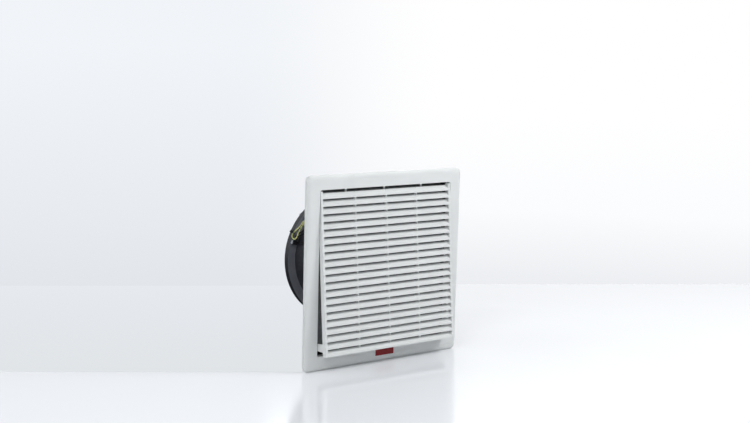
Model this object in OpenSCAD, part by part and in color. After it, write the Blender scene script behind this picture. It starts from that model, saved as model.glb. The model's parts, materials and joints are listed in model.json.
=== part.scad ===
// Filter fan for an enclosure wall: a square front frame with a hinged louvre cover, a filter
// mat in a shallow tub, and a round axial fan on a cowl behind it.
// Millimetres. X is to the right, Y goes into the enclosure and Z is up. The origin is the
// centre of the frame on its seat, the plane that lies on the enclosure wall.

/* [Frame] */
// Width and height of the front frame
frame_w = 252; // [244:1:280]
// Thickness of the frame in front of the wall
frame_t = 6.5; // [5.5:0.1:9]
// Width of the frame's border, from its outer edge to the recess
frame_border = 18.7; // [17:0.1:24]
// Radius of the frame's outer corners, and width of its rounded edge
frame_corner_r = 7.5; // [5:0.5:9]
// How far the rounded edge falls back at its outer side
edge_drop = 2.8; // [1:0.1:4]
// Wall of the collar that passes through the enclosure wall
collar_wall = 3.2; // [2.8:0.1:4]
// Depth of the collar's skirt behind the seat
skirt_depth = 8; // [7:0.5:10]
// Thickness of the skirt
skirt_t = 1.4; // [1.2:0.1:1.6]
// Gap between the collar and the cut-out in the wall, on each side
cutout_gap = 1.5; // [0.5:0.1:3]

/* [Louvre cover] */
// Gap between the cover and the recess at each side
cover_side_gap = 0.9; // [0.6:0.1:1.5]
// Gap between the cover and the recess at the top and the bottom
cover_end_gap = 2.1; // [1.9:0.1:3]
// Depth of the cover from front to back
cover_depth = 7; // [6:0.1:8]
// Number of slats
slat_count = 22; // [14:1:26]
// Height of the slot between two slats
slot_h = 2.1; // [1.6:0.1:2.6]
// Vertical thickness of a slat
slat_t = 2; // [1.4:0.1:2.4]
// Height of the flat lip at the front of a slat
lip_h = 2.6; // [2:0.1:3.2]
// How far a slat's slope falls back behind its lip
slat_depth = 5; // [4:0.1:6]
// Width of the cover's side rails
rail_w = 3; // [2.4:0.1:5]
// Width of the cover's upright ribs
rib_w = 2.3; // [1.5:0.1:3]
// How far the ribs stand back from the cover's face
rib_setback = 3.4; // [2.4:0.1:4.6]
// How far the cover stands open at rest, in degrees
cover_open_angle = 5.1; // [0:0.1:30]
// Diameter of the hinge pins
hinge_pin_d = 3; // [2.4:0.1:3.6]
// Distance of the hinge axis below the top of the recess
hinge_drop = 3.1; // [3:0.1:5]
// Distance of the hinge axis behind the cover's face
hinge_setback = 2.5; // [2.2:0.1:2.6]
// Length of the snap lugs behind the cover
lug_length = 12; // [8:0.5:12]

/* [Filter] */
// Depth of the filter tub behind the seat
tub_depth = 20; // [18:0.5:30]
// Thickness of the filter mat
mat_t = 12; // [9:0.5:12]
// Clearance between the mat and the tub's wall
mat_side_gap = 3.8; // [3.6:0.1:6]
// Thickness of the grid behind the mat
grid_t = 2; // [1.5:0.1:2.4]
// Distance between the bars of the grid
grid_pitch = 14; // [10:0.5:24]

/* [Cowl] */
// Wall of the cowl between the tub and the fan
cowl_wall = 2.5; // [2:0.1:3]
// Distance from the tub to the fan
cowl_length = 33.5; // [30:0.5:60]
// Thickness of the ring that carries the fan
cowl_ring_t = 3.5; // [2.5:0.1:4]

/* [Fan] */
// Outer diameter of the fan
fan_d = 172; // [168:1:180]
// Depth of the fan
fan_depth = 51; // [50:1:60]
// Thickness of the fan's two flanges
fan_flange_t = 8; // [4:0.5:9]
// Radius of the fan's air passage
fan_bore_r = 72; // [69:0.5:72.5]
// Wall of the fan's body
fan_wall = 2.5; // [2:0.1:3]
// Diameter of the circle through the fan's screws
fan_pcd = 162; // [161:0.5:163]
// Diameter of the fan's screws
fan_screw_d = 4; // [3:0.5:4]
// Number of blades
blade_count = 7; // [5:1:9]
// Gap between the blades and the air passage
blade_tip_gap = 1.2; // [0.8:0.1:2.5]

/* [Motor] */
// Outer radius of the rotor cup
rotor_r = 40.5; // [38:0.5:42]
// Wall of the rotor cup
rotor_wall = 2.5; // [2:0.1:3]
// Air gap between the stator and the rotor
air_gap = 0.5; // [0.3:0.1:0.8]
// Diameter of the motor shaft
shaft_d = 5; // [4:0.5:5]
// Outer diameter of the bearings
bearing_d = 16; // [15:0.5:19]
// Width of a bearing
bearing_w = 5; // [4:0.5:6]

/* [Wiring] */
// Diameter of the insulated wires
wire_d = 1.8; // [1.6:0.1:2.6]

/* [Colours] */
// Colour of the frame and the cover
frame_colour = "#d3d7d7";
// Colour of the tub, the cowl and the fan
black_colour = "#26282b";
// Colour of the screws, the nuts and the guard
zinc_colour = "#a4a9ac";

/* [Hidden] */
$fn = 64;

// Overrun of a cut past the surface that it goes through
cut = 1;
// Sink of one feature into the one that carries it, so that they join
sink = 0.2;
// Clearance between two pieces that are assembled and stay still
fit = 0.1;
// Radial clearance of a shaft or pin that turns in its hole
run = 0.05;
// Clearance of a screw in its hole, on the radius
screw_gap = 0.25;
// Share of a right angle at each step of a rounded edge
edge_shares = [0, 0.2, 0.4, 0.6, 0.8, 1];
right_angle = 90;
full_turn = 360;
// Sides of the square pieces, and their two senses
sides = [0, 90, 180, 270];
senses = [-1, 1];

// Frame
half_frame = frame_w / 2;
recess_half = half_frame - frame_border;
recess_r = 3;
collar_half = recess_half + collar_wall;
band_w = frame_corner_r;
lip_depth = 2.5;
skirt_half = collar_half - skirt_t;
collar_r = recess_r + collar_wall;
stop_rib_w = 2.3;
stop_rib_pitch = 62;
stop_rib_drop = 6.5;
stop_rib_front = -1.2;
snap_w = 13;
snap_h = 2.2;
snap_d = 0.9;
snap_pitch = 46;
snap_z = -5.4;

// Badge plate in the lower border
badge_w = 30;
badge_h = 8;
badge_t = 1.2;
badge_x = 1.7;
badge_gap = 0.3;
badge_y = -half_frame + band_w + badge_h / 2 + sink;

// Gasket
gasket_w = 7;
gasket_t = 3;
gasket_inset = 2;
gasket_half = collar_half + gasket_inset + gasket_w;

// Cover, drawn closed and then turned about its hinge
cover_half_w = recess_half - cover_side_gap;
cover_half_h = recess_half - cover_end_gap;
cover_back = frame_t - cover_depth;
slat_pitch = 2 * cover_half_h / slat_count;
lip_t = 1.6;
rail_edge_r = 0.8;
rib_pitch = (cover_half_w - 2 * rail_w) / 2;
hinge_y = recess_half - hinge_drop;
hinge_z = frame_t - hinge_setback;
hinge_pin_l = 3.2;
hinge_hole_l = 3.8;
lug_t = 2;
lug_h = 9.2;
lug_root_h = 10.4;
lug_rise = 10.9;
lug_y = lug_rise - cover_half_h;
nib_d = 0.5;
nib_l = 1.6;
bottom_wall = 1.5;

// Tub, mat and grid
tub_lip_z = -lip_depth - fit;
tub_step_z = -skirt_depth - fit;
tub_floor_t = 2.5;
tub_floor_z = -tub_depth + tub_floor_t;
port_inset = 9.3;
tub_port_half = recess_half - port_inset;
port_r = 24;
grid_side_gap = 0.5;
grid_half = recess_half - grid_side_gap;
grid_z = tub_floor_z + fit;
grid_bar = 1.8;
grid_rim = 8;
mat_half = recess_half - mat_side_gap;
mat_z = grid_z + grid_t + fit;
corner_screw_inset = 7.8;
corner_screw_at = recess_half - corner_screw_inset;
small_screw_d = 3.5;
small_screw_notch = 0.5;

// Clips that hold the collar in the cut-out
clip_w = 18;
clip_t = 1;
clip_bite = 3;
clip_reach = cutout_gap + clip_bite;
clip_nose_z = -3.2;
clip_bend_h = 9.5;
clip_bend_z = -tub_depth + clip_bend_h;
clip_foot_h = 0.6;
clip_foot_z = -tub_depth + clip_foot_h;
clip_screw_d = 3;
clip_screw_h = 4.6;
clip_screw_z = -tub_depth + clip_screw_h;
clip_at = 58;

// Cowl
cowl_flange_t = 2.5;
cowl_half = recess_half - grid_side_gap;
cowl_top_z = -tub_depth - fit;
cowl_mouth_z = cowl_top_z - cowl_flange_t;
cowl_mouth_inset = 7.3;
cowl_mouth_half = recess_half - cowl_mouth_inset;
fan_z = cowl_top_z - cowl_length;
cowl_ring_z = fan_z + cowl_ring_t;
cowl_neck_l = 8;
cowl_neck_z = cowl_ring_z + cowl_neck_l;
cowl_neck_gap = 1;
cowl_neck_r = fan_bore_r + cowl_neck_gap + cowl_wall;
cowl_lift = cowl_wall / 2;
neck_step = 0.3;
loft_facets = 32;
shelf_w = 22;
shelf_h = 24;
shelf_l = 13.4;
shelf_z = cowl_mouth_z - shelf_l;

// Fan housing
fan_r = fan_d / 2;
fan_back_z = fan_z - fan_depth;
fan_front_z = fan_z - fan_flange_t;
fan_rear_z = fan_back_z + fan_flange_t;
fan_body_r = fan_bore_r + fan_wall;
mouth_round = 3;
screw_angles = [45, 135, 225, 315];
hub_margin = 1.5;
hub_r = rotor_r + hub_margin;
hub_t = 4;
hub_z = fan_back_z + hub_t;
strut_w = 7;
strut_t = 6;
strut_count = 4;
strut_start = 8;
strut_lean = 12;
strut_gap = 1;
lead_hole_d = 5;
lead_hole_angle = 162;
lead_hole_rise = 11.3;
lead_hole_z = fan_rear_z + lead_hole_rise;

// Screws and nuts, as shares of the thread's diameter
head_share = 1.9;
head_t_share = 0.6;
nut_share = 2;
nut_t_share = 0.8;
hex = 6;

// Motor
base_t = 3.5;
base_inset = 4.5;
base_r = rotor_r - base_inset;
base_z = hub_z + base_t;
tube_wall = 2.5;
bearing_r = bearing_d / 2;
tube_r = bearing_r + tube_wall;
shoulder_h = 1;
shoulder_r = bearing_r - shoulder_h;
cup_inset = 3.5;
cup_front_z = fan_z - cup_inset;
cup_back_gap = 2;
cup_back_z = base_z + cup_back_gap;
cup_edge_r = 3;
cup_boss_r = 6;
cup_boss_t = 6;
cup_boss_z = cup_front_z - rotor_wall - cup_boss_t;
rotor_bore_r = rotor_r - rotor_wall;
cage_t = 2.5;
cage_r = rotor_bore_r - cage_t;
stator_r = cage_r - air_gap;
stack_front_gap = 12;
stack_front_z = cup_front_z - stack_front_gap;
stack_back_gap = 5;
stack_back_z = cup_back_z + stack_back_gap;
slot_count = 12;
slot_w = 6;
core_yoke = 5;
slot_in_r = tube_r + core_yoke;
tooth_tip = 3;
slot_out_r = stator_r - tooth_tip;
slot_mouth_w = 2;
winding_gap = 0.3;
winding_rise = 3.5;
boss_gap = 1.2;
front_bearing_z = cup_boss_z - boss_gap;
bearing_rise = 0.8;
rear_bearing_z = base_z + bearing_w + bearing_rise;
shaft_r = shaft_d / 2;
shaft_inset = 0.8;
shaft_end_gap = 1.2;
shaft_end_z = hub_z + shaft_end_gap;
inner_ring_t = 1.7;
inner_ring_r = shaft_r + inner_ring_t;
outer_ring_t = 1.8;
shield_t = 0.6;
shield_gap = 0.3;
shield_r = inner_ring_r + shield_gap;
ball_count = 7;
ball_track_r = (inner_ring_r + bearing_r - outer_ring_t) / 2;
ball_r = (bearing_r - outer_ring_t - inner_ring_r) / 2 - run;
clip_ring_t = 0.6;
groove_d = 0.5;
clip_ring_h = 1;
clip_ring_r = shaft_r + clip_ring_h;
clip_play = 0.3;
shaft_groove_z = rear_bearing_z - bearing_w - clip_play - clip_ring_t;
motor_screw_d = 3;
motor_screw_count = 4;
motor_screw_inset = 9;
motor_screw_at = base_r - motor_screw_inset;

// Impeller
impeller_hub_t = 2;
blade_root_share = 0.7;
blade_root_r = rotor_r + blade_root_share * impeller_hub_t;
blade_tip_r = fan_bore_r - blade_tip_gap;
blade_depth_root = 30;
blade_depth_tip = 24;
impeller_hub_over = 4;
impeller_hub_l = blade_depth_root + impeller_hub_over;
blade_mid_z = (cup_front_z + cup_back_z) / 2;
blade_sweep = 14;
blade_pitch_root = 38;
blade_pitch_tip = 33;
blade_t = 2.2;
blade_camber = 3.2;
blade_sections = 8;
blade_chord_shares = [0, 0.03, 0.12, 0.3, 0.5, 0.7, 0.88, 1];
blade_thick_shares = [0.08, 0.5, 0.85, 1, 0.95, 0.7, 0.4, 0.08];

// Finger guard
guard_wire_d = 1.8;
guard_leg_d = 2.4;
guard_rings = 6;
guard_in_r = 18;
guard_inset = 2;
guard_out_r = fan_bore_r - guard_inset;
guard_rise = 7;
guard_eye_r = 3.4;
guard_eye_lap = 0.6;
guard_facets = 24;

// Terminal block on the cowl's shelf. From where the shelf would clear the neck, it stands a third
// of the way out to the corner's screw.
block_share = 0.33;
block_at = mix(cowl_neck_r / sqrt(2) + shelf_w / 2, corner_screw_at, block_share);
block_x = -block_at;
block_y = block_at;
block_z = shelf_z - fit;
block_w = 20;
block_h = 18;
block_d = 14;
block_pole = 6;
entry_d = 3;
entry_l = 6;
well_at = 4.5;
well_d = 3.6;
well_l = (block_d - wire_d) / 2 - fit;
terminal_screw_t = 2.4;
terminal_slot_w = 0.7;
terminal_slot_d = 0.9;

// Connector between two tabs on the fan's rear flange, near its edge, with the places where the
// leads meet the connector
socket_angle = 163;
socket_seat = 0.1;
socket_w = 5;
socket_h = 5;
socket_d = 6.8;
tab_w = 4.6;
tab_t = 0.8;
tab_h = 4.2;
tab_inset = 0.5;
tab_out_r = fan_r - tab_inset - tab_t;
socket_r = tab_out_r - fit - socket_d;
tab_in_r = socket_r - fit - tab_t;
lead_stub = 4;
live_rise = 5;
neutral_rise = 2;

// Earth lug
lug_angle = 135;
lug_ring_t = 0.8;
lug_ring_r = 4;
lug_turn = 35;
lug_tongue_w = 3.2;
lug_tongue_l = 7;
barrel_r = 1.7;
barrel_l = 5;
barrel_lap = 1;
barrel_at = lug_tongue_l - barrel_lap;
barrel_reach = barrel_at + barrel_l + fit;
barrel_stub = 4;

// Cable tie round one point of the earth wire
tie_point = 6;
tie_turn = [0, 136, 103];
tie_spin = 150;
tie_d = 1;
tie_gap = 0.15;
tie_head = 4;

// Wires. Their routes are in X, Y and Z, with Y from the fan's front face. They leave the block's
// entries straight down. The leads end square on the connector, and the earth wire in its lug.
wire_r = wire_d / 2;
wire_sides = 8;
wire_side_start = [1, 0.1, 0.2];
entry_y = fan_z - block_z + block_d / 2;
entry_z = block_y - block_h / 2;
entry_stub = 1.5;
earth_start = [for (z = [entry_l / 2, -entry_stub]) [block_x - block_pole, entry_y, entry_z + z]];
live_start = [for (z = [entry_l / 2, -entry_stub]) [block_x, entry_y, entry_z + z]];
neutral_start = [for (z = [entry_l / 2, -entry_stub]) [block_x + block_pole, entry_y, entry_z + z]];
earth_route = [
    [-82.4, -7.6, 62.6], [-81.5, -0.6, 59.5], [-81, 8.4, 58], [-80, 16.4, 55.5], [-79.2, 23.4, 49.5],
    [-79.6, 31.4, 43.4], [-80.6, 37.9, 38.2], [-81.6, 40.2, 34.2], [-81.2, 39.6, 30.6],
    [-80.2, 36.6, 29.2], [-79, 33.4, 31.8], [-77.8, 32.3, 36.4], [-76.4, 29.6, 42.4],
    [-75.6, 25.8, 47.6], [-75, 21.9, 53], [-75.5, 17.9, 57.5], [-75.2, 13.2, 60.2]
];
live_route = [
    [-76.2, -7.6, 62], [-75.4, 0.4, 57.6], [-75.2, 10.4, 52.6], [-74.8, 19.4, 46.6],
    [-74.5, 27.4, 40.4], [-75.3, 33.5, 37], [-76.3, 38, 33.6]
];
neutral_route = [
    [-70.4, -7.6, 61.8], [-70.8, 0.4, 56.8], [-71.4, 8.9, 51.5], [-71.6, 18.4, 45.4],
    [-71.2, 26.4, 38.8], [-72, 33, 35], [-73.2, 38, 32]
];
earth_end = [for (r = [barrel_reach + barrel_stub, barrel_reach]) [
    fan_pcd / 2 * cos(lug_angle) + r * cos(lug_angle + lug_turn),
    fan_flange_t + barrel_r + fit,
    fan_pcd / 2 * sin(lug_angle) + r * sin(lug_angle + lug_turn)
]];
live_end = lead_end(live_rise);
neutral_end = lead_end(neutral_rise);

function lead_end(rise) = [for (t = [lead_stub, 0]) let (side = socket_w / 2 + fit + t) [
    (socket_r + rise) * cos(socket_angle) + side * sin(socket_angle),
    fan_depth - fan_flange_t - socket_seat - socket_h / 2,
    (socket_r + rise) * sin(socket_angle) - side * cos(socket_angle)
]];

// Drawn with the front upward and then stood up, so a height toward the viewer becomes -Y.
module stand_up() rotate([right_angle, 0, 0]) children();

module both_sides() {
    children();
    mirror([1, 0, 0]) children();
}

module round_square(half, r) {
    square([2 * (half - r), 2 * half], center = true);
    square([2 * half, 2 * (half - r)], center = true);
    for (x = senses, y = senses) translate([x * (half - r), y * (half - r)]) circle(r);
}

module slab(half, r, z0, z1)
    translate([0, 0, z0]) linear_extrude(z1 - z0) round_square(half, r);

// A polygon whose points are (outward, height), drawn out along X at the upper side.
module along_x(length)
    rotate([right_angle, 0, right_angle]) linear_extrude(length, center = true) children();

// A square frame of one profile, whose x runs outward from the corner's centre.
module moulding(half, r, profile) for (a = sides) rotate(a) {
    translate([0, half - r, 0]) along_x(2 * (half - r)) polygon(profile);
    translate([half - r, half - r, 0]) rotate_extrude(angle = right_angle) polygon(profile);
}

function edge_profile(w, t, drop) = concat(
    [[0, 0]],
    [for (s = edge_shares) [w * sin(s * right_angle), t - drop * (1 - cos(s * right_angle))]],
    [[w, 0]]
);

module at_angles(angles, r) for (a = angles) rotate(a) translate([r, 0, 0]) children();

module pan_screw(d, length) {
    cylinder(h = head_t_share * d, r = head_share * d / 2);
    translate([0, 0, -length]) cylinder(h = length + sink, r = d / 2);
}

module nut(d) difference() {
    cylinder(h = nut_t_share * d, r = nut_share * d / 2, $fn = hex);
    translate([0, 0, -cut]) cylinder(h = nut_t_share * d + 2 * cut, r = d / 2 + run);
}

// Frame with its rounded edge, the recess for the cover, and the collar with its skirt.
module front_frame() color(frame_colour) stand_up() {
    difference() {
        union() {
            moulding(half_frame, frame_corner_r, edge_profile(band_w, frame_t, edge_drop));
            translate([0, 0, frame_t / 2])
                cube([2 * (half_frame - band_w), 2 * (half_frame - band_w), frame_t], center = true);
            slab(collar_half, collar_r, -skirt_depth, sink);
        }
        slab(recess_half, recess_r, -skirt_depth - cut, frame_t + cut);
        slab(skirt_half, recess_r + collar_wall - skirt_t, -skirt_depth - cut, -lip_depth);
        gasket_ring(0, cut);
        translate([badge_x, badge_y, frame_t]) badge_blank(badge_gap, cut);
        both_sides() translate([cover_half_w, hinge_y, hinge_z]) rotate([0, right_angle, 0])
            cylinder(h = hinge_hole_l, d = hinge_pin_d + 2 * run);
        for (a = sides, s = senses) rotate(a) translate([s * snap_pitch, collar_half, snap_z])
            cube([snap_w + 2 * fit, 2 * (skirt_t + cut), snap_h + 2 * fit], center = true);
    }
    for (i = [-1:1])
        translate([i * stop_rib_pitch - stop_rib_w / 2, recess_half - stop_rib_drop, -lip_depth])
            cube([stop_rib_w, stop_rib_drop + sink, lip_depth + stop_rib_front]);
}

module badge_blank(grow, above) translate([0, 0, -badge_t])
    linear_extrude(badge_t + above) square([badge_w + 2 * grow, badge_h + 2 * grow], center = true);

module badge_plate() color("#7b2329") stand_up()
    translate([badge_x, badge_y, frame_t]) badge_blank(0, 0);

module gasket_ring(gap, below) difference() {
    slab(gasket_half - gap, collar_r + gasket_inset + gasket_w, -below, gasket_t);
    slab(gasket_half - gasket_w + gap, collar_r + gasket_inset, -below - cut, gasket_t + cut);
}

module panel_gasket() color("#3a3c3e") stand_up() gasket_ring(fit, 0);

// Slat number k of the closed cover: an upright lip, and a slope that falls back above it.
module slat(k) {
    lip = cover_half_h - k * slat_pitch;
    top = lip + slat_pitch - slot_h;
    back = frame_t - slat_depth;
    under = top - slat_t - (top - lip - lip_h) * (1 - lip_t / slat_depth);
    along_x(2 * (cover_half_w - rail_w / 2)) polygon([
        [lip, frame_t], [lip + lip_h, frame_t], [top, back], [top - slat_t, back],
        [under, frame_t - lip_t], [lip, frame_t - lip_t]
    ]);
}

module side_rail() translate([cover_half_w - rail_w, 0, frame_t])
    rotate([right_angle, 0, 0]) linear_extrude(2 * cover_half_h, center = true) polygon(concat(
        [[0, -cover_depth], [rail_w, -cover_depth]],
        [for (s = edge_shares) [
            rail_w - rail_edge_r * (1 - cos(s * right_angle)),
            -rail_edge_r * (1 - sin(s * right_angle))
        ]],
        [[0, 0]]
    ));

module snap_lug() {
    translate([cover_half_w - lug_t, lug_y, cover_back + sink]) rotate([0, right_angle, 0])
        linear_extrude(lug_t) polygon([
            [0, -lug_root_h / 2], [lug_length, -lug_h / 2], [lug_length, lug_h / 2], [0, lug_root_h / 2]
        ]);
    translate([cover_half_w - sink, lug_y - lug_h / 4, cover_back - lug_length + 2 * nib_l])
        rotate([-right_angle, 0, 0]) linear_extrude(lug_h / 2)
            polygon([[0, 0], [nib_d + sink, nib_l / 2], [0, nib_l]]);
}

module closed_cover() {
    for (k = [1:slat_count]) slat(k);
    for (i = [-1:1]) translate([i * rib_pitch - rib_w / 2, -cover_half_h, cover_back])
        cube([rib_w, 2 * cover_half_h - slot_h, cover_depth - rib_setback]);
    translate([-cover_half_w + rail_w / 2, -cover_half_h, cover_back])
        cube([2 * cover_half_w - rail_w, bottom_wall, cover_depth - slat_t]);
    both_sides() {
        side_rail();
        snap_lug();
        translate([cover_half_w - sink, hinge_y, hinge_z]) rotate([0, right_angle, 0])
            cylinder(h = hinge_pin_l + sink, d = hinge_pin_d);
    }
}

// The cover as it stands at rest, turned open about its hinge pins.
module louvre_cover() color(frame_colour) stand_up()
    translate([0, hinge_y, hinge_z]) rotate([-cover_open_angle, 0, 0])
        translate([0, -hinge_y, -hinge_z]) closed_cover();

module filter_mat() color("#8a8c8b") stand_up() slab(mat_half, recess_r, mat_z, mat_z + mat_t);

module mat_grid() color(black_colour) stand_up() {
    inner = grid_half - grid_rim;
    bars = floor(inner / grid_pitch);
    difference() {
        slab(grid_half, recess_r, grid_z, grid_z + grid_t);
        slab(inner, recess_r, grid_z - cut, grid_z + grid_t + cut);
    }
    for (a = [0, right_angle], i = [-bars:bars]) rotate(a)
        translate([i * grid_pitch, 0, grid_z + grid_t / 2])
            cube([grid_bar, 2 * (inner + sink), grid_t], center = true);
}

module snap_wedge() along_x(snap_w)
    polygon([[-sink, -snap_h / 2], [snap_d, -snap_h / 2], [0, snap_h / 2], [-sink, snap_h / 2]]);

module corner_holes(z0, z1) for (x = senses, y = senses)
    translate([x * corner_screw_at, y * corner_screw_at, z0])
        cylinder(h = z1 - z0, d = small_screw_d + 2 * run);

module filter_tub() color(black_colour) stand_up() difference() {
    union() {
        slab(collar_half, collar_r, -tub_depth, tub_step_z);
        slab(skirt_half - fit, recess_r + collar_wall - skirt_t - fit, tub_step_z - sink, tub_lip_z);
        for (a = sides, s = senses) rotate(a)
            translate([s * snap_pitch, skirt_half - fit, snap_z]) snap_wedge();
    }
    slab(recess_half, recess_r, tub_floor_z, cut);
    slab(tub_port_half, port_r, -tub_depth - cut, tub_floor_z + cut);
    corner_holes(-tub_depth - cut, tub_floor_z + cut);
    for (a = sides, s = senses) rotate(a) translate([s * clip_at, collar_half + cut, clip_screw_z])
        rotate([right_angle, 0, 0]) cylinder(h = collar_wall + 2 * cut, d = clip_screw_d + 2 * run);
}

// Each clip is a leaf bent outward from its screwed foot. Its nose bears on the back of the wall.
module wall_clips() color("#8d9296") stand_up() for (a = sides, s = senses) rotate(a)
    translate([s * clip_at, collar_half, 0]) difference() {
        along_x(clip_w) polygon([
            [0, clip_foot_z], [clip_t, clip_foot_z], [clip_t, clip_bend_z - clip_t / 2],
            [clip_reach, clip_nose_z - clip_t], [clip_reach, clip_nose_z],
            [clip_reach - clip_t, clip_nose_z], [0, clip_bend_z]
        ]);
        translate([0, clip_t + cut, clip_screw_z]) rotate([right_angle, 0, 0])
            cylinder(h = clip_t + 2 * cut, d = clip_screw_d + 2 * run);
    }

module clip_screws() color(zinc_colour) stand_up() for (a = sides, s = senses) rotate(a)
    translate([s * clip_at, collar_half + clip_t, clip_screw_z]) rotate([-right_angle, 0, 0])
        pan_screw(clip_screw_d, clip_t + collar_wall);

// Lofted wall of the cowl from its square mouth to its round neck. The hollow in it is drawn in
// by a wall and raised a little, which keeps the slope's own thickness.
module cowl_loft(inset, lift, above) hull() {
    slab(cowl_mouth_half - inset, port_r, cowl_mouth_z - sink + lift, cowl_mouth_z + above,
        $fn = loft_facets);
    translate([0, 0, cowl_neck_z + lift])
        cylinder(h = sink, r = cowl_neck_r - inset, $fn = 2 * loft_facets);
}

module fan_cowl() color(black_colour) stand_up() difference() {
    union() {
        slab(cowl_half, recess_r, cowl_mouth_z, cowl_top_z);
        cowl_loft(0, 0, sink);
        translate([0, 0, fan_z]) cylinder(h = cowl_neck_z - fan_z + sink, r = cowl_neck_r + neck_step);
        translate([0, 0, fan_z]) cylinder(h = cowl_ring_t, r = fan_r);
        translate([block_x - shelf_w / 2, block_y - shelf_h / 2, shelf_z])
            cube([shelf_w, shelf_h, cowl_mouth_z - shelf_z + sink]);
    }
    cowl_loft(cowl_wall, cowl_lift, cowl_flange_t + cut);
    translate([0, 0, fan_z - cut]) cylinder(
        h = cowl_neck_z + cowl_lift - fan_z + cut + sink,
        r = cowl_neck_r - cowl_wall
    );
    corner_holes(cowl_mouth_z - cut, cowl_top_z + cut);
    for (x = senses, y = senses) translate([x * corner_screw_at, y * corner_screw_at, shelf_z - cut])
        cylinder(h = shelf_l + cut, r = head_share * small_screw_d / 2 + small_screw_notch);
    at_angles(screw_angles, fan_pcd / 2) translate([0, 0, fan_z - cut])
        cylinder(h = cowl_ring_t + 2 * cut, d = fan_screw_d + 2 * screw_gap);
}

module cowl_screws() color(zinc_colour) stand_up() for (x = senses, y = senses)
    translate([x * corner_screw_at, y * corner_screw_at, cowl_mouth_z]) rotate([2 * right_angle, 0, 0])
        pan_screw(small_screw_d, tub_floor_z - cowl_mouth_z);

// Half section of the fan's body, with its two flanges and rounded mouths.
function body_section() = concat(
    [for (s = edge_shares) [
        fan_bore_r + mouth_round * (1 - sin(s * right_angle)),
        fan_z - mouth_round * (1 - cos(s * right_angle))
    ]],
    [for (s = edge_shares) [
        fan_bore_r + mouth_round * (1 - cos(s * right_angle)),
        fan_back_z + mouth_round * (1 - sin(s * right_angle))
    ]],
    [
        [fan_r, fan_back_z], [fan_r, fan_rear_z], [fan_body_r, fan_rear_z],
        [fan_body_r, fan_front_z], [fan_r, fan_front_z], [fan_r, fan_z]
    ]
);

// The struts stand clear of the motor's base on the hub.
module struts() intersection() {
    for (i = [0:strut_count - 1]) rotate(i * full_turn / strut_count + strut_start)
        translate([hub_r - strut_w, -strut_w / 2, fan_back_z]) rotate(strut_lean)
            cube([fan_r - hub_r + strut_w, strut_w, strut_t]);
    difference() {
        translate([0, 0, fan_back_z]) cylinder(h = strut_t, r = fan_bore_r + fan_wall / 2);
        translate([0, 0, hub_z]) cylinder(h = strut_t, r = base_r + strut_gap);
    }
}

module fan_housing() color(black_colour) stand_up() difference() {
    union() {
        rotate_extrude() polygon(body_section());
        struts();
        translate([0, 0, fan_back_z]) cylinder(h = hub_t, r = hub_r);
    }
    at_angles(screw_angles, fan_pcd / 2) translate([0, 0, fan_back_z - cut])
        cylinder(h = fan_depth + 2 * cut, d = fan_screw_d + 2 * screw_gap);
    motor_holes(fan_back_z - cut, hub_z + cut);
    rotate(lead_hole_angle) translate([fan_bore_r - cut, 0, lead_hole_z]) rotate([0, right_angle, 0])
        cylinder(h = fan_wall + 2 * cut, d = lead_hole_d);
}

module motor_holes(z0, z1) for (i = [0:motor_screw_count - 1])
    rotate(i * full_turn / motor_screw_count) translate([motor_screw_at, 0, z0])
        cylinder(h = z1 - z0, d = motor_screw_d + 2 * run);

// Screws of the fan's front flange. The earth lug lies under the head of one of them.
module fan_screws() color(zinc_colour) stand_up() for (a = screw_angles) {
    under_head = a == lug_angle ? lug_ring_t + fit : 0;
    rotate(a) translate([fan_pcd / 2, 0, fan_front_z - under_head]) rotate([2 * right_angle, 0, 0])
        pan_screw(fan_screw_d, cowl_ring_z + nut_t_share * fan_screw_d - fan_front_z + under_head);
}

module fan_nuts() color(zinc_colour) stand_up()
    at_angles(screw_angles, fan_pcd / 2) translate([0, 0, cowl_ring_z]) nut(fan_screw_d);

// Motor base with the tube that holds the two bearings against its inner shoulder.
module motor_base() color("#8f9496") stand_up() difference() {
    union() {
        translate([0, 0, hub_z]) cylinder(h = base_t, r = base_r);
        translate([0, 0, hub_z]) cylinder(h = front_bearing_z - hub_z, r = tube_r);
    }
    translate([0, 0, hub_z - cut]) cylinder(h = front_bearing_z - hub_z + 2 * cut, r = shoulder_r);
    translate([0, 0, front_bearing_z - bearing_w]) cylinder(h = bearing_w + cut, r = bearing_r + run);
    translate([0, 0, hub_z - cut]) cylinder(h = rear_bearing_z - hub_z + cut, r = bearing_r + run);
    motor_holes(hub_z - cut, base_z + cut);
}

module motor_screws() color(zinc_colour) stand_up()
    for (i = [0:motor_screw_count - 1]) rotate(i * full_turn / motor_screw_count)
        translate([motor_screw_at, 0, fan_back_z]) rotate([2 * right_angle, 0, 0])
            pan_screw(motor_screw_d, base_z - fan_back_z);

module at_bearings() for (z = [front_bearing_z, rear_bearing_z])
    translate([0, 0, z - bearing_w]) children();

module bearing_outer_rings() color("#a9adb0") stand_up() at_bearings() difference() {
    cylinder(h = bearing_w, r = bearing_r);
    translate([0, 0, -cut]) cylinder(h = bearing_w + 2 * cut, r = shield_r);
    translate([0, 0, shield_t]) cylinder(h = bearing_w - 2 * shield_t, r = bearing_r - outer_ring_t);
}

module bearing_inner_rings() color("#b4b8bb") stand_up() at_bearings() difference() {
    cylinder(h = bearing_w, r = inner_ring_r);
    translate([0, 0, -cut]) cylinder(h = bearing_w + 2 * cut, r = shaft_r + run);
}

module bearing_balls() color("#c4c7c9") stand_up() at_bearings()
    at_angles([for (i = [0:ball_count - 1]) i * full_turn / ball_count], ball_track_r)
        translate([0, 0, bearing_w / 2]) sphere(r = ball_r);

module slot_bars(w, r0, r1, z0, z1) for (i = [0:slot_count - 1]) rotate(i * full_turn / slot_count)
    translate([r0, -w / 2, z0]) cube([r1 - r0, w, z1 - z0]);

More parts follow.
